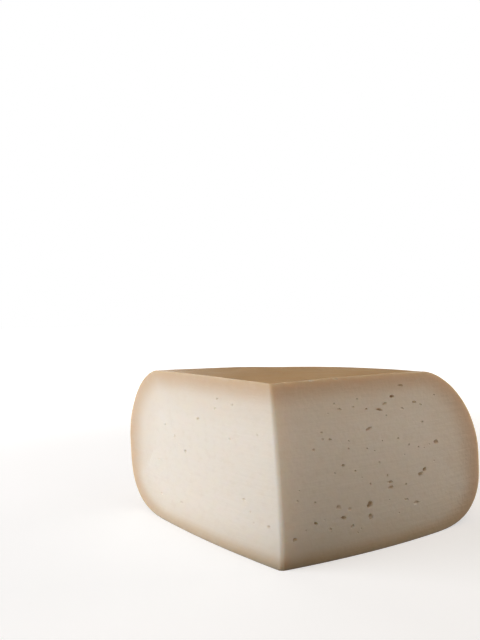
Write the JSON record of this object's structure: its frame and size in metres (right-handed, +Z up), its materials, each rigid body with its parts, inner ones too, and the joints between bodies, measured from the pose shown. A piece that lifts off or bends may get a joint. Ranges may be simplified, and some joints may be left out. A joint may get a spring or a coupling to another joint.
{
  "type": "goat cheese wedge",
  "caption": "Quarter wedge of a semi-hard goat cheese: pale knife-cut faces with small eyes, a smooth coated rind with rounded shoulders, and a flat underside to rest on.",
  "frame": {"origin": "on the resting surface, under the middle of the wedge's bounding box", "axes": "+X to the right along the widest extent, +Y from the cut tip towards the rind, +Z up"},
  "size_m": [0.1986, 0.1404, 0.0812],
  "materials": {
    "cheese": "satin cream paste with a thin tan coated rind"
  },
  "bodies": {
    "root": {"cheese_wedge": "cheese"}
  },
  "joints": []
}
